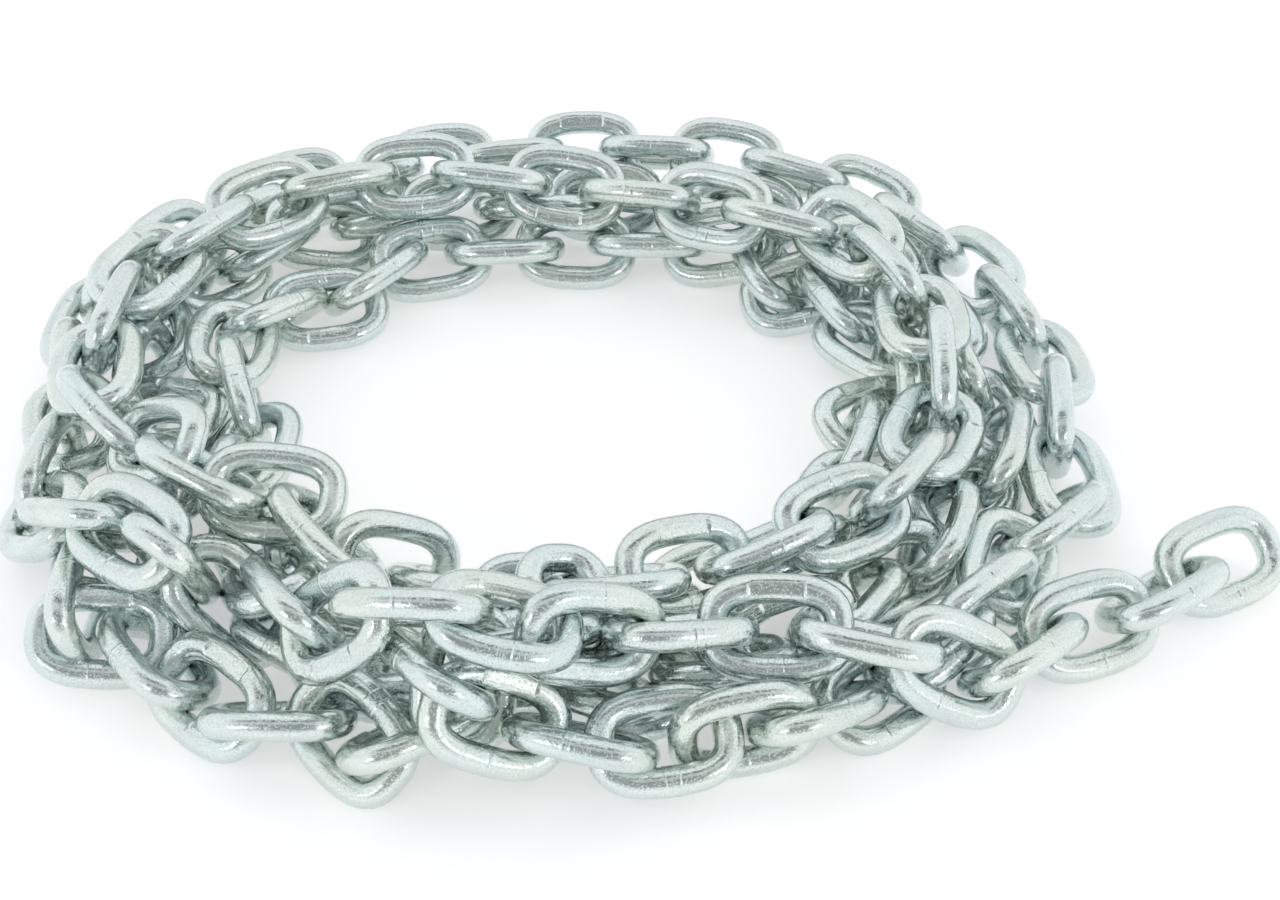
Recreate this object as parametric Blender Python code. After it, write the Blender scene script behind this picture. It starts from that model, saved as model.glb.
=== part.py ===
# A loose coil of round-steel short-link chain, zinc plated, lying on a level floor.
# Lengths in the constants are in millimetres; the meshes are made in metres.
import math

import bmesh
import bpy
import numpy as np
from mathutils import Vector

# One link
WIRE = 10.0            # diameter of the round steel
PITCH = 31.0           # inside length of a link
WIDTH = 36.0           # outside width of a link
WIRE_SIDES = 6         # flats round the wire
CROWN_STEPS = 4        # straight steps round each end

# How links meet
BITE = 0.8             # depth to which the links of one run are joined where they bear
HANG = 0.35            # gap where one run hangs in the next
CLEAR = 10.3           # wire middles of any two other links, so 0.3 mm stays open
RUN = 3                # links in one run
LINK_TURN_REACH = 16.0 # how far a link's mass lies from its middle

# Where the picture was taken from, in millimetres and picture points
VIEW_TILT = math.radians(42.0)
VIEW_DISTANCE = 729.0
VIEW_FOCAL = 1998.0
VIEW_CENTRE = (640.0, 450.0)
VIEW_TARGET = np.array((0.0, 0.0, 18.0))

# Passes over the heap: strands apart, links down on each other, last gaps
PASSES = (150, 1400, 900)

# Middle of every link as seen in the picture: across, down, and height over the floor.
# The list follows the chain from its loose end. None is a link hidden by others,
# set out evenly between its neighbours.
LOOSE_END = [
    (1215, 561, 11), (1156, 594, 11), (1085, 624, 13), (1017, 648, 18), (943, 660, 27),
    (860, 638, 40), (770, 625, 49), (678, 627, 53), (584, 635, 53), (497, 620, 55),
    (411, 612, 56), (332, 622, 52), (290, 605, 43), (268, 570, 35),
]
INNER_TURN = [
    (245, 540, 27), (236, 503, 22), (242, 455, 24), (238, 400, 32), (222, 345, 31),
    (270, 316, 22), (322, 312, 14), (372, 280, 14), (424, 257, 16), (500, 248, 14), (578, 250, 14), (640, 240, 13), (715, 240, 14),
    (785, 262, 20), (797, 300, 13), (835, 302, 14), (868, 340, 13), (890, 380, 14),
    (868, 418, 13), (850, 455, 13), (835, 500, 12), (790, 550, 12), (715, 590, 12),
    (625, 615, 12), (535, 618, 18), (440, 592, 34),
]
TOP_TURN = [
    (380, 560, 40), (315, 540, 47), (267, 498, 50), (206, 482, 52), (157, 440, 53),
    (109, 423, 51), (88, 370, 49), (114, 328, 49), (133, 275, 49), (198, 238, 49),
    (261, 191, 49), (336, 183, 49), (412, 170, 49), (488, 180, 48), (567, 189, 49),
    (641, 200, 49), (714, 203, 49), (784, 226, 49), (848, 232, 51), (887, 273, 49),
    (917, 322, 48), (935, 366, 48), (930, 437, 42), (896, 475, 42), (836, 523, 38),
    (761, 549, 40), (677, 565, 33), (615, 588, 30), (560, 615, 30), (510, 648, 29),
    (465, 688, 24), (418, 723, 15),
]
LOW_TURN = [
    (361, 725, 13), (276, 718, 12), (208, 695, 12), (154, 659, 12), (99, 630, 12),
    (103, 597, 12), (122, 567, 12), (150, 530, 12), (166, 490, 12), (165, 450, 12),
    (158, 412, 12), (150, 380, 12), (146, 345, 14), (164, 298, 16), (205, 268, 16),
    (260, 250, 16), (318, 234, 18), (385, 225, 16), (455, 212, 16), None, (600, 208, 14),
    None, (740, 222, 14), None, (860, 275, 14), None, (935, 345, 14), None, (985, 420, 16),
    (990, 460, 18), (960, 492, 18), (930, 540, 14), None, (850, 610, 12), None,
    (715, 665, 12), None, (575, 685, 12), None, (435, 675, 13),
]
OUTER_TURN = [
    (362, 668, 14), (289, 655, 16), (228, 607, 28), (176, 553, 38), (121, 545, 44),
    (80, 514, 38), (38, 520, 20), (50, 470, 16), (73, 428, 16), (84, 386, 18),
    (95, 340, 18), (122, 296, 18), (166, 259, 18), (219, 217, 18), (281, 188, 16),
    (350, 170, 16), (422, 160, 16), (496, 155, 18), (566, 137, 20), (650, 150, 22),
    (733, 143, 24), (803, 172, 27), (880, 200, 29), (932, 243, 31), (984, 270, 32),
    (1006, 325, 32), (1057, 380, 31), (1045, 450, 27), (1062, 490, 24), (1045, 525, 22),
    (995, 562, 18), (983, 603, 12), (930, 650, 12), (870, 698, 12), (812, 705, 18),
    (742, 733, 14), (658, 735, 16), (571, 738, 16), (487, 712, 24), (432, 674, 32),
]
CHAIN = LOOSE_END + INNER_TURN + TOP_TURN + LOW_TURN + OUTER_TURN

# Links that lie rolled over about their own length, in degrees
ROLLED = {
    9: -15, 10: -45, 11: -80, 12: -90, 13: -90, 14: -60, 15: -30,
    144: 15, 145: 50, 146: 90, 147: 90, 148: 55, 149: 15,
}

PLATING = (0.64, 0.67, 0.66, 1.0)

radius = WIRE / 2
crown = (WIDTH - WIRE) / 2
half_bar = (PITCH + 2 * WIRE - WIDTH) / 2


def unit(rows):
    return rows / np.linalg.norm(rows, axis=-1, keepdims=True)


def view_axes():
    ahead = np.array((0.0, math.cos(VIEW_TILT), -math.sin(VIEW_TILT)))
    up = np.array((0.0, math.sin(VIEW_TILT), math.cos(VIEW_TILT)))
    right = np.array((1.0, 0.0, 0.0))
    eye = VIEW_TARGET - VIEW_DISTANCE * ahead
    return right, up, ahead, eye


def spot(across, down, height):
    # The point at that height on the sight line through a point of the picture.
    right, up, ahead, eye = view_axes()
    ray = ahead * VIEW_FOCAL
    ray = ray + right * (across - VIEW_CENTRE[0])
    ray = ray - up * (down - VIEW_CENTRE[1])
    return eye + (height - eye[2]) / ray[2] * ray


def route():
    seen = [k for k, entry in enumerate(CHAIN) if entry is not None]
    points = np.zeros((len(CHAIN), 3))
    for first, last in zip(seen[:-1], seen[1:]):
        start = spot(*CHAIN[first])
        stop = spot(*CHAIN[last])
        for k in range(first, last + 1):
            share = (k - first) / (last - first)
            points[k] = start * (1 - share) + stop * share
    visible = np.zeros(len(CHAIN), bool)
    visible[seen] = True
    return points, visible


def wire_line():
    # The middle line of one link's wire: two round ends joined by two bars.
    line = []
    for end in (1, -1):
        for k in range(CROWN_STEPS + 1):
            turn = -math.pi / 2 + math.pi * k / CROWN_STEPS
            along = end * (half_bar + crown * math.cos(turn))
            across = end * crown * math.sin(turn)
            line.append((along, across, 0.0))
    return np.array(line)


def line_sides(line):
    # For each straight stretch: its outward side, and how much its turns thin it there.
    chord = unit(np.roll(line, -1, axis=0) - line)
    outward = np.stack((chord[:, 1], -chord[:, 0], np.zeros(len(line))), 1)
    thin = np.full(len(line), math.cos(math.pi / 2 / CROWN_STEPS))
    thin[[CROWN_STEPS, 2 * CROWN_STEPS + 1]] = 1.0
    return outward, thin


def half_thickness(way, outward, through, thin):
    # How far the six-sided wire reaches from its middle line along a direction.
    across = (way * outward).sum(1) * thin
    level = (way * through).sum(1)
    reach = np.zeros(len(way))
    for side in range(WIRE_SIDES):
        angle = 2 * math.pi * side / WIRE_SIDES
        reach = np.maximum(reach, across * math.cos(angle) + level * math.sin(angle))
    return radius * reach


def nearest(p0, p1, q0, q1):
    # Closest points of many pairs of straight stretches.
    way_p = p1 - p0
    way_q = q1 - q0
    between = p0 - q0
    a = (way_p * way_p).sum(1)
    e = (way_q * way_q).sum(1)
    f = (way_q * between).sum(1)
    b = (way_p * way_q).sum(1)
    c = (way_p * between).sum(1)
    spread = a * e - b * b
    free = np.clip((b * f - c * e) / np.maximum(spread, 1e-9), 0, 1)
    s = np.where(spread > 1e-9, free, 0.5)
    t_free = (b * s + f) / e
    t = np.clip(t_free, 0, 1)
    s = np.where(t != t_free, np.clip((b * t - c) / a, 0, 1), s)
    return p0 + way_p * s[:, None], q0 + way_q * t[:, None]


def turned(axes, turn):
    angle = np.linalg.norm(turn, axis=1)
    pole = (turn / np.maximum(angle, 1e-12)[:, None])[:, None, :]
    cosine = np.cos(angle)[:, None, None]
    sine = np.sin(angle)[:, None, None]
    share = (axes * pole).sum(2, keepdims=True)
    swung = np.cross(np.broadcast_to(pole, axes.shape), axes)
    out = axes * cosine + swung * sine + pole * share * (1 - cosine)
    long = unit(out[:, 0])
    wide = out[:, 1]
    wide = unit(wide - long * (long * wide).sum(1, keepdims=True))
    return np.stack((long, wide, np.cross(long, wide)), 1)


class Heap:
    # Every link's middle and its three directions: long, wide and through.
    def __init__(self):
        self.goal, self.visible = route()
        self.count = len(self.goal)
        right, up, ahead, eye = view_axes()
        self.sight = unit(self.goal - eye)
        self.middle = self.goal.copy()
        for _ in range(60):
            step = self.middle[1:] - self.middle[:-1]
            length = np.linalg.norm(step, axis=1)
            excess = np.maximum(length - PITCH, 0) + np.minimum(length - 0.75 * PITCH, 0)
            step = step * (0.4 * excess / np.maximum(length, 1e-9))[:, None]
            self.middle[:-1] += step
            self.middle[1:] -= step
        joints = (self.middle[1:] + self.middle[:-1]) / 2
        before = np.vstack((2 * self.middle[0] - joints[0], joints))
        after = np.vstack((joints, 2 * self.middle[-1] - joints[-1]))
        along = unit(after - before)
        facing = np.broadcast_to(np.array((0.0, -0.72, 0.69)), along.shape)
        facing = unit(facing - along * (along * facing).sum(1, keepdims=True))
        even = np.arange(self.count) % 2 == 0
        through = np.where(even[:, None], facing, np.cross(along, facing))
        rolled = np.zeros(self.count)
        for number, angle in ROLLED.items():
            rolled[number - 1] = math.radians(angle)
        across = np.cross(along, through)
        through = through * np.cos(rolled)[:, None] + across * np.sin(rolled)[:, None]
        self.axes = np.stack((along, np.cross(through, along), through), 1)
        self.roll = through.copy()
        number = np.arange(self.count - 1)
        self.joined = number // RUN == (number + 1) // RUN
        self.wanted = np.where(self.joined, -BITE, HANG)
        self.line = wire_line()
        self.outward, self.thin = line_sides(self.line)
        self.draw_in = 0.0

    def clear_moves(self):
        self.push = np.zeros((self.count, 3))
        self.turn = np.zeros((self.count, 3))
        self.touches = np.zeros(self.count)

    def part_links(self, first, second, p, q, way, amount):
        # Moves two links apart (or together) by an amount at their nearest points.
        swing = LINK_TURN_REACH ** 2
        arm_p = np.cross(p - self.middle[first], way)
        arm_q = np.cross(q - self.middle[second], way)
        ease = 2 + ((arm_p * arm_p).sum(1) + (arm_q * arm_q).sum(1)) / swing
        size = (amount / ease)[:, None]
        np.add.at(self.push, first, size * way)
        np.add.at(self.push, second, -size * way)
        np.add.at(self.turn, first, size * arm_p / swing)
        np.add.at(self.turn, second, -size * arm_q / swing)
        np.add.at(self.touches, first, 1.0)
        np.add.at(self.touches, second, 1.0)

    def hold_joints(self):
        first = np.arange(self.count - 1)
        second = first + 1
        p = self.middle[first] + self.axes[first, 0] * PITCH / 2
        q = self.middle[second] - self.axes[second, 0] * PITCH / 2
        gap = q - p
        length = np.linalg.norm(gap, axis=1)
        way = gap / np.maximum(length, 1e-9)[:, None]
        ahead = (gap * (self.axes[first, 0] + self.axes[second, 0])).sum(1)
        play = np.where(ahead < 0, 7.0, 1.0)
        self.part_links(first, second, p, q, way, 0.8 * np.maximum(length - play, 0))

    def spread_strands(self, first, second):
        far = second - first > 2
        a = first[far]
        b = second[far]
        half = self.axes[:, 0] * 13.5
        p, q = nearest(self.middle[a] - half[a], self.middle[a] + half[a],
                       self.middle[b] - half[b], self.middle[b] + half[b])
        gap = p - q
        length = np.linalg.norm(gap, axis=1)
        way = gap / np.maximum(length, 1e-9)[:, None]
        amount = np.maximum(21.0 - length, 0)
        on = amount > 0
        self.part_links(a[on], b[on], p[on], q[on], way[on], 0.5 * amount[on])

    def part_wires(self, first, second, starts, stops):
        centre = (starts + stops) / 2
        apart = centre[first][:, :, None] - centre[second][:, None]
        close = (apart * apart).sum(3) < 24.0 ** 2
        pair, bit_p, bit_q = np.nonzero(close)
        a = first[pair]
        b = second[pair]
        p, q = nearest(starts[a, bit_p], stops[a, bit_p], starts[b, bit_q], stops[b, bit_q])
        gap = p - q
        length = np.linalg.norm(gap, axis=1)
        way = gap / np.maximum(length, 1e-9)[:, None]
        hooked = b - a == 1
        before = np.minimum(a, self.count - 2)
        sides = self.outward @ self.axes
        reach = half_thickness(-way, sides[a, bit_p], self.axes[a, 2], self.thin[bit_p])
        reach += half_thickness(way, sides[b, bit_q], self.axes[b, 2], self.thin[bit_q])
        target = np.where(hooked, reach + self.wanted[before], CLEAR)
        fixed = hooked & self.joined[before]
        order = np.lexsort((length - target, a * self.count + b))
        code = (a * self.count + b)[order]
        leads = np.r_[True, np.diff(code) != 0]
        follows = np.r_[False, leads[:-1] & ~leads[1:]]
        amount = np.maximum(target - length, 0)
        top = order[leads]
        bound = top[fixed[top]]
        amount[bound] = target[bound] - length[bound]
        hung = top[(hooked & ~fixed)[top]]
        amount[hung] += self.draw_in * np.minimum(target[hung] - length[hung], 0)
        used = np.r_[top, order[follows]]
        used = used[np.abs(amount[used]) > 1e-4]
        self.part_links(a[used], b[used], p[used], q[used], way[used], 0.9 * amount[used])

    def lift_off_floor(self, starts):
        below = starts[:, :, 2] - radius
        link, bit = np.nonzero(below < 0)
        place = starts[link, bit]
        up = np.broadcast_to(np.array((0.0, 0.0, 1.0)), place.shape)
        swing = LINK_TURN_REACH ** 2
        arm = np.cross(place - self.middle[link], up)
        size = (-below[link, bit] / (1 + (arm * arm).sum(1) / swing))[:, None]
        np.add.at(self.push, link, size * up)
        np.add.at(self.turn, link, size * arm / swing)
        np.add.at(self.touches, link, 1.0)

    def keep_to_picture(self, hold, fade):
        off = self.goal - self.middle
        off = off - self.sight * (off * self.sight).sum(1, keepdims=True)
        self.push += off * (np.where(self.visible, hold, hold / 6) * fade)[:, None]

    def keep_roll(self, hold):
        through = self.axes[:, 2]
        side = np.sign((through * self.roll).sum(1, keepdims=True))
        swing = np.cross(through, self.roll) * side
        along = self.axes[:, 0]
        self.turn += along * (swing * along).sum(1, keepdims=True) * hold

    def move(self):
        push = self.push
        turn = self.turn
        size = np.linalg.norm(push, axis=1, keepdims=True)
        push = push * np.minimum(1.0, 1.5 / np.maximum(size, 1e-9))
        size = np.linalg.norm(turn, axis=1, keepdims=True)
        turn = turn * np.minimum(1.0, 0.08 / np.maximum(size, 1e-9))
        self.middle = self.middle + push
        self.axes = turned(self.axes, turn)

    def lay(self):
        one, two = np.triu_indices(self.count, 1)
        down = np.array((0.0, 0.0, -1.0))
        slant = self.sight / -self.sight[:, 2:3]
        for stage, passes in enumerate(PASSES):
            self.draw_in = 0.25 if stage == 2 else 0.0
            for k in range(passes):
                if k % 10 == 0:
                    apart = self.middle[one] - self.middle[two]
                    near = (apart * apart).sum(1) < 58.0 ** 2
                    first = one[near]
                    second = two[near]
                self.clear_moves()
                self.hold_joints()
                starts = self.middle[:, None] + self.line @ self.axes
                stops = np.roll(starts, -1, axis=1)
                if stage == 0:
                    self.spread_strands(first, second)
                    hooked = second - first == 1
                    self.part_wires(first[hooked], second[hooked], starts, stops)
                else:
                    self.part_wires(first, second, starts, stops)
                self.lift_off_floor(starts)
                share = np.maximum(1.0, self.touches ** 0.55)[:, None]
                self.push /= share
                self.turn /= share
                fade = 1.0
                if stage == 2:
                    fade = max(0.0, 1 - k / (passes * 0.5))
                if stage == 0:
                    self.keep_to_picture(0.06, fade)
                    self.push += (self.goal - self.middle) * 0.03
                    self.keep_roll(0.05)
                else:
                    self.keep_to_picture(0.036, fade)
                    sink = 0.085 * fade * max(0.12, 1 - k / (0.5 * passes))
                    self.push += sink * (0.6 * slant + 0.4 * down)
                    self.keep_roll(0.025 * fade)
                self.move()


def wire_rings(middle, axes):
    # Corners of one link: six-sided wire swept round the line, an edge facing the eye.
    line = wire_line()
    heading = unit(np.roll(line, -1, axis=0) - np.roll(line, 1, axis=0))
    outward = np.stack((heading[:, 1], -heading[:, 0], np.zeros(len(line))), 1)
    angle = 2 * math.pi * np.arange(WIRE_SIDES) / WIRE_SIDES
    corners = line[:, None] + outward[:, None] * (radius * np.cos(angle))[None, :, None]
    corners[:, :, 2] += radius * np.sin(angle)
    return middle + corners @ axes


def stand_on_floor(heap):
    # The frame's origin is on the floor under the middle of the heap.
    links = zip(heap.middle, heap.axes)
    corners = np.concatenate([wire_rings(m, a).reshape(-1, 3) for m, a in links])
    low = corners.min(0)
    high = corners.max(0)
    heap.middle -= np.array(((low[0] + high[0]) / 2, (low[1] + high[1]) / 2, low[2]))


def link_mesh(bm, middle, axes):
    rings = []
    for corners in wire_rings(middle, axes) / 1000.0:
        rings.append([bm.verts.new(Vector(corner)) for corner in corners])
    for k, here in enumerate(rings):
        there = rings[(k + 1) % len(rings)]
        for side in range(WIRE_SIDES):
            after = (side + 1) % WIRE_SIDES
            bm.faces.new((here[side], there[side], there[after], here[after]))


def new_object(name, bm):
    bmesh.ops.recalc_face_normals(bm, faces=bm.faces)
    mesh = bpy.data.meshes.new(name)
    bm.to_mesh(mesh)
    bm.free()
    mesh.shade_smooth()
    piece = bpy.data.objects.new(name, mesh)
    bpy.context.scene.collection.objects.link(piece)
    return piece


def plated_steel(name):
    material = bpy.data.materials.new(name)
    material.use_nodes = True
    shader = material.node_tree.nodes["Principled BSDF"]
    shader.inputs["Base Color"].default_value = PLATING
    shader.inputs["Metallic"].default_value = 1.0
    shader.inputs["Roughness"].default_value = 0.3
    return material


def outer_skin(mesh):
    # Where two wires bear, a small pocket can be shut in between them: it is filled.
    bm = bmesh.new()
    bm.from_mesh(mesh)
    waiting = set(bm.verts)
    shells = []
    while waiting:
        shell = []
        reached = [waiting.pop()]
        while reached:
            corner = reached.pop()
            shell.append(corner)
            for edge in corner.link_edges:
                other = edge.other_vert(corner)
                if other in waiting:
                    waiting.remove(other)
                    reached.append(other)
        shells.append(shell)
    shells.sort(key=len)
    for shell in shells[:-1]:
        bmesh.ops.delete(bm, geom=shell, context="VERTS")
    bm.to_mesh(mesh)
    bm.free()


def add_run(heap, first, last):
    # Two or three links that hang in each other, joined where they bear.
    name = f"links_{first + 1:03d}_to_{last + 1:03d}"
    single = []
    for number in range(first, last + 1):
        bm = bmesh.new()
        link_mesh(bm, heap.middle[number], heap.axes[number])
        single.append(new_object(f"link_{number + 1:03d}", bm))
    for other in single[1:]:
        join = single[0].modifiers.new(f"join {other.name}", "BOOLEAN")
        join.operation = "UNION"
        join.solver = "EXACT"
        join.object = other
    ready = single[0].evaluated_get(bpy.context.evaluated_depsgraph_get())
    mesh = bpy.data.meshes.new_from_object(ready)
    for item in single:
        bpy.data.objects.remove(item)
    outer_skin(mesh)
    mesh.name = name
    mesh.shade_smooth()
    mesh.set_sharp_from_angle(angle=math.radians(70))
    piece = bpy.data.objects.new(name, mesh)
    bpy.context.scene.collection.objects.link(piece)
    piece.data.materials.append(plated_steel(f"{name}_steel"))
    return piece


def main():
    for item in list(bpy.data.objects):
        bpy.data.objects.remove(item)
    heap = Heap()
    heap.lay()
    stand_on_floor(heap)
    for first in range(0, heap.count, RUN):
        add_run(heap, first, min(first + RUN, heap.count) - 1)


main()
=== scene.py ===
# Dresses the coil of zinc-plated chain: round links with their welds and stamp pads, on a pale floor.
import math

import bpy
import numpy as np
from mathutils import Matrix, Vector


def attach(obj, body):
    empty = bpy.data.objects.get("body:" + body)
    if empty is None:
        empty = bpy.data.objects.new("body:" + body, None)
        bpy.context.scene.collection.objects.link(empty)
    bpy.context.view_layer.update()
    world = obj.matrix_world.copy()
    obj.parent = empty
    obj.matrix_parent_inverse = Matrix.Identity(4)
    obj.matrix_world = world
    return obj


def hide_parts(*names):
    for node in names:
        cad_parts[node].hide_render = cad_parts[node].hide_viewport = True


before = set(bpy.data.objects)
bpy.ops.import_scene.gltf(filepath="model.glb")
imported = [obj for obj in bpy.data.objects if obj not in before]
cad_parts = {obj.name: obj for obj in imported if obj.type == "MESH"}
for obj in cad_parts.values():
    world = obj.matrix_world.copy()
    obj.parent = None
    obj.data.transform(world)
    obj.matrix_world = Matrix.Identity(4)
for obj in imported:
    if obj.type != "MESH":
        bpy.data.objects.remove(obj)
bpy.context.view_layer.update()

link = {
    "wire": 0.010,            # diameter of the round steel
    "inside": 0.031,          # inside length, which is the chain's pitch
    "width": 0.036,           # outside width
    "sides": 20,              # corners round the wire
    "coarseStep": 0.0019,     # ring spacing on the crowns and bars
    "fineStep": 0.00028,      # ring spacing over the weld's ridges
    "fineReach": (0.0006, 0.004),  # distances from a ridge between which the rings widen
    "padHurry": 1.6,          # how much sooner they widen from the ends of the pad
    "oval": 2.8,              # 2 is an ellipse, and more makes the bars straighter
    "ovalSteps": 4000,        # steps in which the oval's length is measured
    "unevenness": 0.00035,    # height of the slow waves that forging leaves
    "waveScale": 95.0,
    "waveLevel": 0.62,        # the waves' noise at which the wire keeps its thickness
    "faceWay": (0.0, -0.7, 0.7),   # towards the viewer, where the stamps show
    "nearWay": (0.0, -0.8, -0.2),  # towards the near bar of a link
}
weld = {
    "halfLength": 0.0024,     # from the weld's middle to each ridge
    "ridgeWidth": 0.00028,
    "ridgeHeight": 0.00013,
    "swell": 0.00013,         # how much thicker the wire is between the ridges
    "narrowing": (1.0, 0.6, 0.0),  # the seams lie less far apart on some links, or in one line
    "wanderScale": 170.0,
    "wander": 0.0010,         # how far a seam wanders along the wire
    "roughScale": 420.0,
    "rough": (0.2, 1.6),      # least height of a ridge, and what the noise adds, as shares
    "nearShare": 0.72,        # of the links have the weld on their near bar
}
pad = {
    "length": 0.019,
    "depth": 0.00072,         # how far the stamp flattened the wire
    "edge": 0.0006,
    "links": [7, 15, 24, 55, 92, 119, 131, 142, 145],  # links whose stamp faces the viewer
    "share": 0.3,             # of the other links
}
solid = {
    "sides": 6,               # corners round the wire in the frame's solids
    "crownSteps": 4,          # straight steps round each crown there
    "lengthError": 0.00001,   # by how much an edge of a bar may be too long or short
    "levelError": 0.0001,     # by how much the middles of a link's edges may be out of line
    "parallel": 0.9999,       # least cosine between the edges of one link
    "reach": 0.04,            # greatest distance between two edges of one link
    "enough": 6,              # edges that show where a link is
    "pairError": 0.00003,     # by how much two opposite edges may be too far apart
    "fits": 4,                # times that a link's turn is fitted
}

scene = bpy.context.scene
crown = (link["width"] - link["wire"]) / 2
halfBar = (link["inside"] + 2 * link["wire"] - link["width"]) / 2


def unit(row):
    return row / np.linalg.norm(row)


def barPattern():
    # Where the twelve long edges of one link's two bars cross its middle plane, and their lengths.
    half = crown * math.sin(math.pi / solid["crownSteps"])
    lean = math.atan2(crown - half, 2 * halfBar + half)
    spots, lengths = [], []
    for side in (1, -1):
        for k in range(solid["sides"]):
            turn = 2 * math.pi * k / solid["sides"]
            out, up = link["wire"] / 2 * math.cos(turn), link["wire"] / 2 * math.sin(turn)
            spots.append((side * (crown + out * math.cos(lean)), up))
            lengths.append(2 * halfBar + 2 * out * math.sin(lean))
    return np.array(spots), np.array(lengths)


def readLinks(node):
    # Reads each link's middle and its long, wide and through directions back from a frame node.
    mesh = node.data
    place = np.zeros(len(mesh.vertices) * 3)
    mesh.vertices.foreach_get("co", place)
    place = place.reshape(-1, 3)
    pairs = np.array([e.vertices[:] for e in mesh.edges])
    start, stop = place[pairs[:, 0]], place[pairs[:, 1]]
    length = np.linalg.norm(stop - start, axis=1)
    spots, lengths = barPattern()
    isBar = np.abs(length[:, None] - lengths[None]).min(1) < solid["lengthError"]
    way = (stop - start)[isBar] / length[isBar, None]
    middle = ((stop + start) / 2)[isBar]
    keep = np.unique(np.round(middle, 5), axis=0, return_index=True)[1]
    way, middle = way[keep], middle[keep]
    waiting = list(range(len(middle)))
    found = []
    while waiting:
        k = waiting[0]
        level = np.abs((middle - middle[k]) @ way[k]) < solid["levelError"]
        along = np.abs(way @ way[k]) > solid["parallel"]
        close = np.linalg.norm(middle - middle[k], axis=1) < solid["reach"]
        group = [j for j in waiting if level[j] and along[j] and close[j]]
        waiting = [j for j in waiting if j not in group and j != k]
        if len(group) >= solid["enough"]:
            found.append(fitLink(middle[group], way[k], spots))
    return found


def fitLink(points, longWay, spots):
    # Opposite edges share their midpoint, which is the link's middle.
    reach = 2 * np.linalg.norm(spots, axis=1)
    gap = np.linalg.norm(points[:, None] - points[None], axis=2)
    near = np.abs(gap[:, :, None] - reach[None, None]).min(2) < solid["pairError"]
    mids = ((points[:, None] + points[None]) / 2)[near]
    votes = (np.linalg.norm(mids[:, None] - mids[None], axis=2) < solid["levelError"]).sum(1)
    best = mids[votes.argmax()]
    middle = mids[np.linalg.norm(mids - best, axis=1) < solid["levelError"]].mean(0)
    arm = points - middle
    spread = np.linalg.svd(arm)[2]
    wide = unit(spread[0] - longWay * (spread[0] @ longWay))
    for _ in range(solid["fits"]):
        through = np.cross(longWay, wide)
        flat = np.stack((arm @ wide, arm @ through), 1)
        match = spots[np.linalg.norm(flat[:, None] - spots[None], axis=2).argmin(1)]
        twist = (match[:, 0] * flat[:, 1] - match[:, 1] * flat[:, 0]).sum()
        turn = math.atan2(twist, (match * flat).sum())
        wide = unit(wide * math.cos(turn) + through * math.sin(turn))
    return middle, np.stack((longWay, wide, np.cross(longWay, wide)))


def orderedRuns():
    # The links of every node in the chain's order, from its loose end.
    names = sorted(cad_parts)
    runs = [readLinks(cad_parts[name]) for name in names]
    for k, run in enumerate(runs):
        wanted = int(names[k][-3:]) - int(names[k][6:9]) + 1
        if len(run) != wanted:
            raise SystemExit(f"{names[k]} shows {len(run)} links, not {wanted}")
        if len(run) == 3:
            spread = [sum(np.linalg.norm(a[0] - b[0]) for b in run) for a in run]
            inner = int(np.argmin(spread))
            rest = [j for j in range(3) if j != inner]
            run[:] = [run[rest[0]], run[inner], run[rest[1]]]
    for k, run in enumerate(runs):
        other = runs[k + 1] if k + 1 < len(runs) else runs[k - 1]
        reach = [min(np.linalg.norm(end[0] - b[0]) for b in other) for end in (run[0], run[-1])]
        if (reach[0] < reach[1]) == (k + 1 < len(runs)):
            run.reverse()
    return names, runs


names, runs = orderedRuns()
print(f"read {sum(len(run) for run in runs)} links from {len(names)} frame nodes")


camera = {
    "eye": (0.0, -0.5418, 0.5058),
    "aim": (0.0, 0.0, 0.018),
    "lens": 56.2,             # millimetres
    "sensor": 36.0,           # millimetres
    "farthest": 20.0,         # metres that it sees
    "shift": (-0.00495, 0.02590, -0.00092),  # from the picture's middle to the frame's origin
}


def setCamera():
    shift = Vector(camera["shift"])
    eye, aim = Vector(camera["eye"]) - shift, Vector(camera["aim"]) - shift
    data = bpy.data.cameras.new("viewer")
    data.sensor_width = camera["sensor"]
    data.lens = camera["lens"]
    data.clip_end = camera["farthest"]
    viewer = bpy.data.objects.new("viewer", data)
    viewer.location = eye
    viewer.rotation_euler = (aim - eye).to_track_quat("-Z", "Y").to_euler()
    scene.collection.objects.link(viewer)
    scene.camera = viewer


setCamera()


class Tree:
    # A node tree under construction, with short ways to add and join nodes.
    def __init__(self, tree):
        self.tree = tree

    def add(self, kind, **settings):
        node = self.tree.nodes.new(kind)
        for name, value in settings.items():
            if name == "inputs":
                for socket, given in value.items():
                    if isinstance(given, bpy.types.NodeSocket):
                        self.tree.links.new(given, node.inputs[socket])
                    else:
                        node.inputs[socket].default_value = given
            else:
                setattr(node, name, value)
        return node

    def math(self, operation, a, b=None, c=None):
        given = {k: v for k, v in enumerate((a, b, c)) if v is not None}
        return self.add("ShaderNodeMath", operation=operation, inputs=given).outputs[0]

    def vector(self, operation, a, b=None, scale=None):
        given = {0: a}
        if b is not None:
            given[1] = b
        if scale is not None:
            given["Scale"] = scale
        return self.add("ShaderNodeVectorMath", operation=operation, inputs=given).outputs[0]


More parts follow.
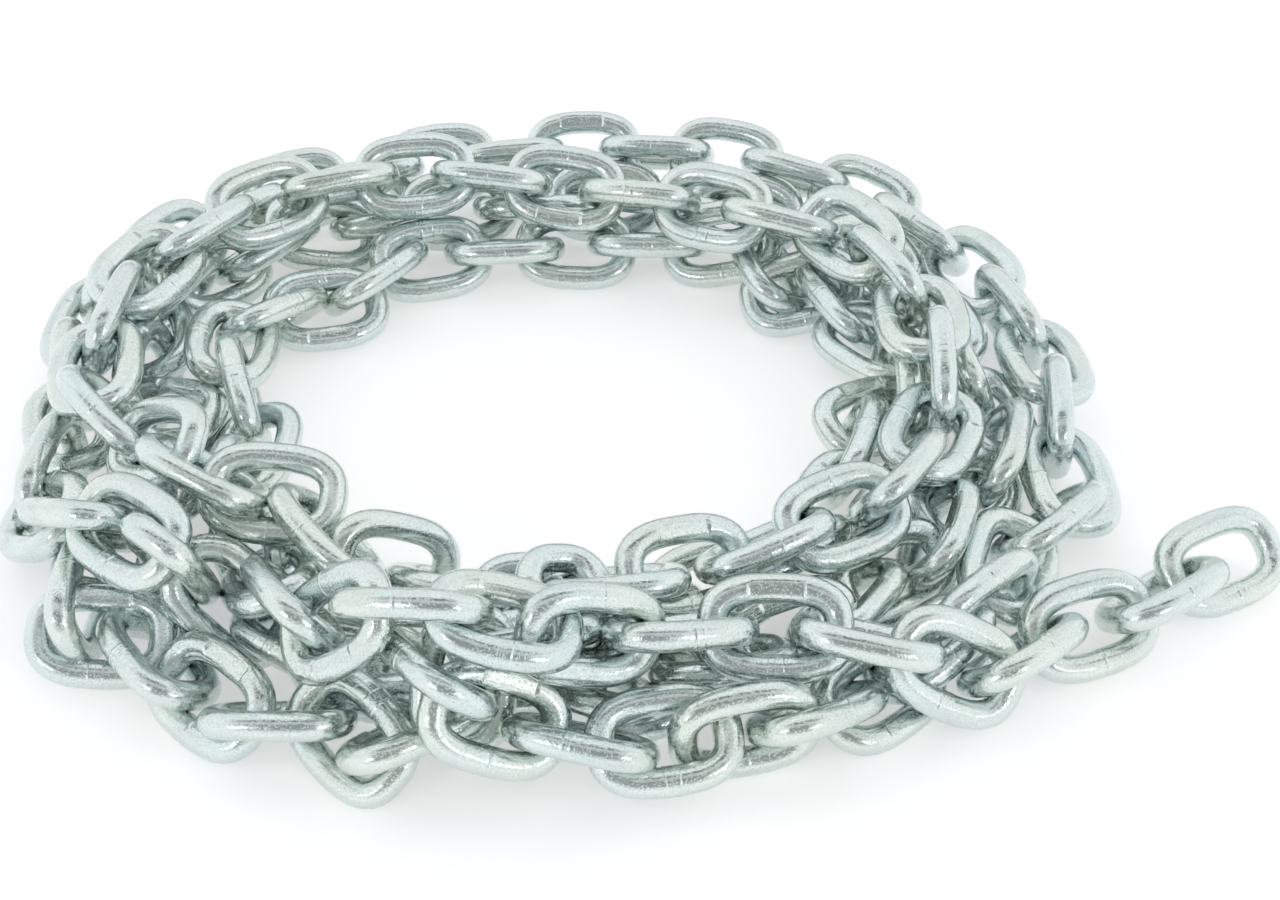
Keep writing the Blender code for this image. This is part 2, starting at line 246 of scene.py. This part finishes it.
def ovalPath():
    # The middle line of a link's wire, from the weld at -Y round and back, with the length passed.
    turn = np.linspace(0, 2 * math.pi, link["ovalSteps"] + 1)
    across, down = np.sin(turn), -np.cos(turn)
    power = 2 / link["oval"]
    spots = np.stack((np.sign(across) * np.abs(across) ** power * (halfBar + crown),
                      np.sign(down) * np.abs(down) ** power * crown), 1)
    passed = np.concatenate(([0.0], np.cumsum(np.linalg.norm(np.diff(spots, axis=0), axis=1))))
    return spots, passed


pathSpots, pathPassed = ovalPath()
wireLength = float(pathPassed[-1])


def linkLine():
    # The path as a closed curve, its rings closest at the weld and the ends of the pad.
    ends = [0.0]
    while ends[-1] < wireLength:
        here = min(ends[-1], wireLength - ends[-1])
        ridge = max(here - weld["halfLength"], 0.0)
        padEnd = abs(wireLength / 2 - pad["length"] / 2 - here)
        near = min(ridge, padEnd * link["padHurry"])
        step = np.interp(near, link["fineReach"], (link["fineStep"], link["coarseStep"]))
        ends.append(ends[-1] + step)
    along = np.array(ends[:-1]) * wireLength / ends[-1]
    points = [(np.interp(s, pathPassed, pathSpots[:, 0]), np.interp(s, pathPassed, pathSpots[:, 1]), 0.0)
              for s in along]
    data = bpy.data.curves.new("link line", "CURVE")
    data.dimensions = "3D"
    spline = data.splines.new("POLY")
    spline.points.add(len(points) - 1)
    for point, spot in zip(spline.points, points):
        point.co = (*spot, 1.0)
    spline.use_cyclic_u = True
    line = bpy.data.objects.new("link line", data)
    scene.collection.objects.link(line)
    line.hide_render = True
    return line, len(points)


line, ringCount = linkLine()
print(f"one link has {ringCount} rings of {link['sides']} corners, {ringCount * link['sides'] * 2} triangles")


def linkTree():
    # Sweeps the wire, raises the weld, flattens the pad, and sets a link on every point.
    tree = bpy.data.node_groups.new("chain links", "GeometryNodeTree")
    face = tree.interface
    wanted = (("Places", "Geometry"), ("Link Line", "Object"), ("Steel", "Material"), ("Wire", "Float"),
              ("Sides", "Int"), ("Weld Half Length", "Float"), ("Ridge Width", "Float"),
              ("Ridge Height", "Float"), ("Swell", "Float"), ("Pad Length", "Float"),
              ("Pad Depth", "Float"), ("Pad Edge", "Float"), ("Unevenness", "Float"))
    for name, kind in wanted:
        face.new_socket(name, in_out="INPUT", socket_type=f"NodeSocket{kind}")
    face.new_socket("Links", in_out="OUTPUT", socket_type="NodeSocketGeometry")
    t = Tree(tree)
    given = t.add("NodeGroupInput").outputs
    result = t.add("NodeGroupOutput")

    path = t.add("GeometryNodeObjectInfo", transform_space="ORIGINAL", inputs={"Object": given["Link Line"]})
    radius = t.math("MULTIPLY", given["Wire"], 0.5)
    ring = t.add("GeometryNodeCurvePrimitiveCircle", mode="RADIUS",
                 inputs={"Resolution": given["Sides"], "Radius": radius})
    # The profile's own place round the wire, kept for the finish.
    around = t.add("GeometryNodeStoreNamedAttribute", data_type="FLOAT_VECTOR", domain="POINT",
                   inputs={"Geometry": ring.outputs["Curve"], "Name": "wireRound",
                           "Value": t.add("GeometryNodeInputPosition").outputs[0]})
    part = t.add("GeometryNodeSplineParameter")
    kept = t.add("GeometryNodeStoreNamedAttribute", data_type="FLOAT", domain="POINT",
                 inputs={"Geometry": path.outputs["Geometry"], "Name": "alongWire",
                         "Value": part.outputs["Length"]})
    swept = t.add("GeometryNodeCurveToMesh",
                  inputs={"Curve": kept.outputs[0], "Profile Curve": around.outputs[0]})
    smooth = t.add("GeometryNodeSetShadeSmooth", inputs={"Geometry": swept.outputs["Mesh"]})

    here = t.add("GeometryNodeInputPosition").outputs[0]
    normal = t.add("GeometryNodeInputNormal").outputs[0]
    place = t.add("ShaderNodeSeparateXYZ", inputs={0: here})
    rough = t.add("ShaderNodeTexNoise",
                  inputs={"Vector": here, "Scale": weld["roughScale"], "Detail": 2.0})
    rough = t.math("MULTIPLY_ADD", rough.outputs["Fac"], weld["rough"][1], weld["rough"][0])
    weldBar = t.math("LESS_THAN", place.outputs["Y"], 0.0)
    # A seam is never quite straight: it wanders a little as it goes round the wire.
    wander = t.add("ShaderNodeTexNoise",
                   inputs={"Vector": here, "Scale": weld["wanderScale"], "Detail": 1.0})
    astray = t.math("MULTIPLY_ADD", wander.outputs["Fac"], weld["wander"], -weld["wander"] / 2)
    fromMiddle = t.math("ABSOLUTE", t.math("ADD", place.outputs["X"], astray))

    # The pad: a flat stamped into the face of the other bar, with short ends.
    padHalf = t.math("MULTIPLY", given["Pad Length"], 0.5)
    fromEnd = t.math("SUBTRACT", padHalf, t.math("ABSOLUTE", place.outputs["X"]))
    onPad = t.math("MAXIMUM", t.math("DIVIDE", fromEnd, given["Pad Edge"]), 0.0)
    onPad = t.math("MINIMUM", onPad, 1.0)
    onPad = t.math("MULTIPLY", onPad, t.math("GREATER_THAN", place.outputs["Y"], 0.0))
    level = t.math("SUBTRACT", radius, given["Pad Depth"])
    over = t.math("MAXIMUM", t.math("SUBTRACT", place.outputs["Z"], level), 0.0)
    drop = t.math("MULTIPLY", t.math("MULTIPLY", over, onPad), -1.0)

    # The weld: fine ridges with a slight swelling between them, on the bar at -Y.
    plain, stamped = [], []
    for share in weld["narrowing"]:
        half = t.math("MULTIPLY", given["Weld Half Length"], share)
        offRidge = t.math("DIVIDE", t.math("SUBTRACT", fromMiddle, half), given["Ridge Width"])
        ridge = t.math("EXPONENT", t.math("MULTIPLY", t.math("MULTIPLY", offRidge, offRidge), -1.0))
        outside = t.math("MAXIMUM", t.math("ADD", offRidge, 0.5), 0.0)
        inside = t.math("SUBTRACT", 1.0, t.math("SMOOTH_MIN", outside, 1.0, 0.2))
        rise = t.math("ADD", t.math("MULTIPLY", ridge, given["Ridge Height"]),
                      t.math("MULTIPLY", inside, given["Swell"]))
        rise = t.math("MULTIPLY", t.math("MULTIPLY", rise, weldBar), rough)
        welded = t.add("GeometryNodeSetPosition", inputs={
            "Geometry": smooth.outputs[0], "Offset": t.vector("SCALE", normal, scale=rise)})
        plain.append(welded.outputs[0])
        stamped.append(t.add("GeometryNodeSetPosition", inputs={
            "Geometry": welded.outputs[0],
            "Offset": t.add("ShaderNodeCombineXYZ", inputs={"Z": drop}).outputs[0]}).outputs[0])

    # The joined kinds come out in the reverse of the order they go in.
    kinds = t.add("GeometryNodeGeometryToInstance")
    for kind in reversed(plain + stamped):
        t.tree.links.new(kind, kinds.inputs[0])
    turn = t.add("GeometryNodeInputNamedAttribute", data_type="QUATERNION", inputs={"Name": "linkTurn"})
    kind = t.add("GeometryNodeInputNamedAttribute", data_type="INT", inputs={"Name": "linkKind"})
    turnOut = next(s for s in turn.outputs if s.enabled)
    kindOut = next(s for s in kind.outputs if s.enabled)
    placed = t.add("GeometryNodeInstanceOnPoints", inputs={
        "Points": given["Places"], "Instance": kinds.outputs[0], "Pick Instance": True,
        "Instance Index": kindOut, "Rotation": turnOut})
    whole = t.add("GeometryNodeRealizeInstances", inputs={"Geometry": placed.outputs[0]})

    # No forged link is quite even: a slow wave over the surface.
    wave = t.add("ShaderNodeTexNoise", inputs={"Vector": here, "Scale": link["waveScale"], "Detail": 1.0})
    lift = t.math("SUBTRACT", wave.outputs["Fac"], link["waveLevel"])
    lift = t.math("MULTIPLY", lift, given["Unevenness"])
    uneven = t.add("GeometryNodeSetPosition", inputs={
        "Geometry": whole.outputs[0], "Offset": t.vector("SCALE", normal, scale=lift)})
    plated = t.add("GeometryNodeSetMaterial",
                   inputs={"Geometry": uneven.outputs[0], "Material": given["Steel"]})
    tree.links.new(plated.outputs[0], result.inputs["Links"])
    return tree


zinc = {
    "drawLines": (1300.0, 420.0, 3.0, 0.0),  # fineness across and along the wire, detail, shift
    "streaks": (300.0, 60.0, 2.0, 5.0),
    "seeds": 40.0,            # every link takes its own part of them, up to this number
    "seedStep": 3.7,
    "streakShades": ((0.28, (0.67, 0.732, 0.715, 1.0)), (0.60, (0.76, 0.817, 0.803, 1.0))),
    "tintShades": ((0.35, (0.95, 0.985, 1.0, 1.0)), (0.68, (1.0, 1.0, 0.95, 1.0))),
    "tintScale": 34.0,
    "grainScale": 1300.0,
    "grainSpan": (0.36, 0.60),  # the part of the noise that counts, here and below
    "grainShade": 0.92,       # how dark the grain's low spots are
    "crystalScale": 1500.0,
    "crystalSpan": (0.44, 0.60),
    "crystalDull": 0.12,      # roughness that the dullest crystals add
    "fleckSpan": (0.58, 0.70),
    "cloudScale": 75.0,
    "cloudSpan": (0.42, 0.66),
    "cloudMatt": (0.04, 0.13),  # roughness outside and inside the cloudy patches
    "dentScale": 260.0,
    "relief": 0.00006,        # height of the draw lines, the grain, the dents and the single crystals
}


def setShades(node, shades):
    for step, (position, colour) in zip(node.color_ramp.elements, shades):
        step.position, step.color = position, colour
    return node.outputs["Color"]


def zincSteel():
    # Bright zinc plating over drawn wire: satin grain, draw lines and faint passivation tints.
    material = bpy.data.materials.new("zincPlate")
    material.use_nodes = True
    t = Tree(material.node_tree)
    shader = material.node_tree.nodes["Principled BSDF"]
    shader.inputs["Metallic"].default_value = 1.0
    around = t.add("ShaderNodeAttribute", attribute_name="wireRound").outputs["Vector"]
    along = t.add("ShaderNodeAttribute", attribute_name="alongWire").outputs["Fac"]
    seed = t.add("ShaderNodeAttribute", attribute_name="linkSeed").outputs["Fac"]
    turn = t.math("MULTIPLY", along, 2 * math.pi / wireLength)
    bend = wireLength / (2 * math.pi)

    def streak(across, lengthwise, detail, shift):
        # Noise drawn out along the wire; it closes on itself round the link and round the wire.
        flat = t.vector("SCALE", around, scale=across)
        parts = t.add("ShaderNodeSeparateXYZ", inputs={0: flat})
        far = t.math("MULTIPLY", t.math("COSINE", turn), bend * lengthwise)
        side = t.math("MULTIPLY", t.math("SINE", turn), bend * lengthwise)
        spot = t.add("ShaderNodeCombineXYZ", inputs={
            "X": t.math("ADD", parts.outputs[0], t.math("MULTIPLY", seed, zinc["seedStep"] + shift)),
            "Y": parts.outputs[1], "Z": far})
        noise = t.add("ShaderNodeTexNoise", noise_dimensions="4D", inputs={
            "Vector": spot.outputs[0], "W": side, "Scale": 1.0, "Detail": detail, "Roughness": 0.55})
        return noise.outputs["Fac"]

    body = t.add("ShaderNodeTexCoord").outputs["Object"]

    def mottle(scale, detail, roughness=0.5):
        return t.add("ShaderNodeTexNoise", inputs={
            "Vector": body, "Scale": scale, "Detail": detail, "Roughness": roughness}).outputs["Fac"]

    drawLines = streak(*zinc["drawLines"])
    broad = streak(*zinc["streaks"])
    grain = mottle(zinc["grainScale"], 2.0, 0.7)
    dents = mottle(zinc["dentScale"], 1.0)
    tint = mottle(zinc["tintScale"], 2.0)
    cloud = mottle(zinc["cloudScale"], 2.0)

    shade = setShades(t.add("ShaderNodeValToRGB", inputs={"Fac": broad}), zinc["streakShades"])
    hue = setShades(t.add("ShaderNodeValToRGB", inputs={"Fac": tint}), zinc["tintShades"])
    colour = t.add("ShaderNodeMix", data_type="RGBA", blend_type="MULTIPLY",
                   inputs={0: 1.0, 6: shade, 7: hue})
    sparkle = t.add("ShaderNodeMapRange", inputs={
        "Value": grain, "From Min": zinc["grainSpan"][0], "From Max": zinc["grainSpan"][1],
        "To Min": zinc["grainShade"], "To Max": 1.0})
    finish = t.vector("SCALE", colour.outputs[2], scale=sparkle.outputs["Result"])
    material.node_tree.links.new(finish, shader.inputs["Base Color"])
    # Satin where the plating is cloudy, brighter where the wire's own surface shows through.
    matt = t.add("ShaderNodeMapRange", interpolation_type="SMOOTHSTEP", inputs={
        "Value": cloud, "From Min": zinc["cloudSpan"][0], "From Max": zinc["cloudSpan"][1],
        "To Min": zinc["cloudMatt"][0], "To Max": zinc["cloudMatt"][1]})
    # Crystals of the plating: each is a little duller or brighter than the next.
    crystals = mottle(zinc["crystalScale"], 2.0, 0.7)
    dull = t.add("ShaderNodeMapRange", inputs={
        "Value": crystals, "From Min": zinc["crystalSpan"][0], "From Max": zinc["crystalSpan"][1],
        "To Min": 0.0, "To Max": zinc["crystalDull"]})
    rough = t.math("ADD", dull.outputs["Result"], matt.outputs["Result"])
    material.node_tree.links.new(rough, shader.inputs["Roughness"])
    # Single crystals stand out of the rest and catch the light.
    single = mottle(zinc["crystalScale"], 1.0)
    fleck = t.add("ShaderNodeMapRange", inputs={
        "Value": single, "From Min": zinc["fleckSpan"][0], "From Max": zinc["fleckSpan"][1]})
    height = t.math("ADD", t.math("ADD", drawLines, grain), t.math("ADD", dents, fleck.outputs["Result"]))
    height = t.math("MULTIPLY", height, zinc["relief"])
    bump = t.add("ShaderNodeBump", inputs={"Strength": 1.0, "Distance": 1.0, "Height": height})
    material.node_tree.links.new(bump.outputs[0], shader.inputs["Normal"])
    return material


steel = zincSteel()
tree = linkTree()
dice = np.random.default_rng(11)


def facingTurn(axes):
    # The stamp faces the viewer's side, and the weld lies on the near bar of most links.
    wide, through = axes[1:]
    if through @ np.array(link["faceWay"]) < 0:
        through = -through
    near = wide @ np.array(link["nearWay"]) > 0
    weldNear = dice.random() < weld["nearShare"]
    if near == weldNear:
        wide = -wide
    return np.stack((np.cross(wide, through), wide, through))


def dressRun(name, run, first):
    # The chain's looks on one frame node: its links made again on their places.
    turns, kinds, seeds = [], [], []
    for k, (middle, axes) in enumerate(run):
        turned = facingTurn(axes)
        turns.extend(Matrix(turned.T.tolist()).to_quaternion())
        stamped = first + k in pad["links"] or dice.random() < pad["share"]
        seams = int(dice.integers(len(weld["narrowing"])))
        kinds.append(seams + (len(weld["narrowing"]) if stamped else 0))
        seeds.append(dice.random() * zinc["seeds"])
    points = bpy.data.meshes.new(f"{name}_places")
    points.from_pydata([tuple(middle) for middle, axes in run], [], [])
    points.attributes.new("linkTurn", "QUATERNION", "POINT").data.foreach_set("value", turns)
    points.attributes.new("linkKind", "INT", "POINT").data.foreach_set("value", kinds)
    points.attributes.new("linkSeed", "FLOAT", "POINT").data.foreach_set("value", seeds)
    maker = bpy.data.objects.new(f"{name}_maker", points)
    scene.collection.objects.link(maker)
    work = maker.modifiers.new("links", "NODES")
    work.node_group = tree
    given = {"Link Line": line, "Steel": steel, "Wire": link["wire"], "Sides": link["sides"],
             "Weld Half Length": weld["halfLength"], "Ridge Width": weld["ridgeWidth"],
             "Ridge Height": weld["ridgeHeight"], "Swell": weld["swell"], "Pad Length": pad["length"],
             "Pad Depth": pad["depth"], "Pad Edge": pad["edge"], "Unevenness": link["unevenness"]}
    for item in tree.interface.items_tree:
        if item.in_out == "INPUT" and item.name in given:
            work[item.identifier] = given[item.name]
    ready = maker.evaluated_get(bpy.context.evaluated_depsgraph_get())
    mesh = bpy.data.meshes.new_from_object(ready)
    mesh.name = f"chain_{name[6:]}"
    mesh.materials.clear()
    mesh.materials.append(steel)
    mesh.polygons.foreach_set("material_index", [0] * len(mesh.polygons))
    bpy.data.objects.remove(maker)
    piece = bpy.data.objects.new(f"chain_{name[6:]}", mesh)
    scene.collection.objects.link(piece)
    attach(piece, "root")
    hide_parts(name)
    return piece


pieces = []
for name, run in zip(names, runs):
    pieces.append(dressRun(name, run, int(name[6:9])))
bpy.data.objects.remove(line)
print(f"dressed {len(pieces)} runs, {sum(len(p.data.polygons) for p in pieces) * 2} triangles")


ground = {
    "half": 6.0,              # metres from its middle to its edge
    "level": -0.0003,         # just below the chain
    "shade": 0.78,
    "matt": 0.9,
    "glow": 0.42,             # as on a light table, for the photo's white ground
}


def setFloor():
    data = bpy.data.meshes.new("floor")
    half = ground["half"]
    corners = [(-half, -half, 0), (half, -half, 0), (half, half, 0), (-half, half, 0)]
    data.from_pydata(corners, [], [(0, 1, 2, 3)])
    floor = bpy.data.objects.new("floor", data)
    floor.location.z = ground["level"]
    scene.collection.objects.link(floor)
    paint = bpy.data.materials.new("paleFloor")
    paint.use_nodes = True
    shader = paint.node_tree.nodes["Principled BSDF"]
    shader.inputs["Base Color"].default_value = (ground["shade"],) * 3 + (1.0,)
    shader.inputs["Roughness"].default_value = ground["matt"]
    shader.inputs["Emission Color"].default_value = (1.0, 1.0, 1.0, 1.0)
    shader.inputs["Emission Strength"].default_value = ground["glow"]
    data.materials.append(paint)


light = {
    # How dark the surroundings are, by degrees of lean from straight up towards the viewer.
    "room": ((-90, 0.42), (-83, 0.42), (-75, 0.07), (-9, 0.07), (-1, 0.84), (7, 0.84),
             (12, 0.28), (24, 0.28), (30, 0.68), (66, 0.58), (82, 0.06), (90, 0.0)),
    "sides": (0.35, 0.75),    # sideways part of the view over which the dark fades out
    "tent": (0.97, 0.985, 1.0),
    "shadow": (0.980, 0.978, 0.998),  # what full darkness takes away from the tent's colour
    "strength": 1.10,
    "lamps": (                # name, place, width and depth, watts
        ("overhead softbox", (-0.3, 0.4, 1.6), (1.8, 1.4), 0.5),
        ("left lamp", (-0.95, -1.2, 0.75), (0.4, 0.4), 1.0),
        ("right lamp", (0.95, -1.2, 0.75), (0.4, 0.4), 1.0),
    ),
}


def areaLight(name, spot, size, power):
    # A soft lamp that faces the coil's middle.
    data = bpy.data.lights.new(name, "AREA")
    data.shape = "RECTANGLE"
    data.size, data.size_y = size
    data.energy = power
    lamp = bpy.data.objects.new(name, data)
    lamp.location = spot
    lamp.rotation_euler = (-Vector(spot)).to_track_quat("-Z", "Y").to_euler()
    scene.collection.objects.link(lamp)


def setLight():
    world = bpy.data.worlds.new("studio")
    world.use_nodes = True
    scene.world = world
    t = Tree(world.node_tree)
    background = world.node_tree.nodes["Background"]
    way = t.add("ShaderNodeTexCoord").outputs["Generated"]
    parts = t.add("ShaderNodeSeparateXYZ", inputs={0: way})
    # A pale tent overhead and behind, and a darker room from there down on the viewer's side.
    lean = t.math("ARCTAN2", t.math("MULTIPLY", parts.outputs["Y"], -1.0), parts.outputs["Z"])
    room = t.add("ShaderNodeValToRGB", inputs={"Fac": t.math("MULTIPLY_ADD", lean, 1 / math.pi, 0.5)})
    steps = light["room"]
    ramp = room.color_ramp
    while len(ramp.elements) < len(steps):
        ramp.elements.new(0.5)
    for step, (degrees, dark) in zip(ramp.elements, steps):
        step.position, step.color = degrees / 180 + 0.5, (dark, dark, dark, 1.0)
    aside = t.add("ShaderNodeMapRange", interpolation_type="SMOOTHSTEP", inputs={
        "Value": t.math("ABSOLUTE", parts.outputs["X"]),
        "From Min": light["sides"][0], "From Max": light["sides"][1], "To Min": 1.0, "To Max": 0.0})
    dark = t.math("MULTIPLY", room.outputs["Color"], aside.outputs["Result"])
    shadow = t.vector("SCALE", light["shadow"], scale=dark)
    tent = t.vector("SUBTRACT", light["tent"], shadow)
    world.node_tree.links.new(tent, background.inputs["Color"])
    background.inputs["Strength"].default_value = light["strength"]
    for lamp in light["lamps"]:
        areaLight(*lamp)


setFloor()
setLight()
scene.view_settings.view_transform = "Standard"
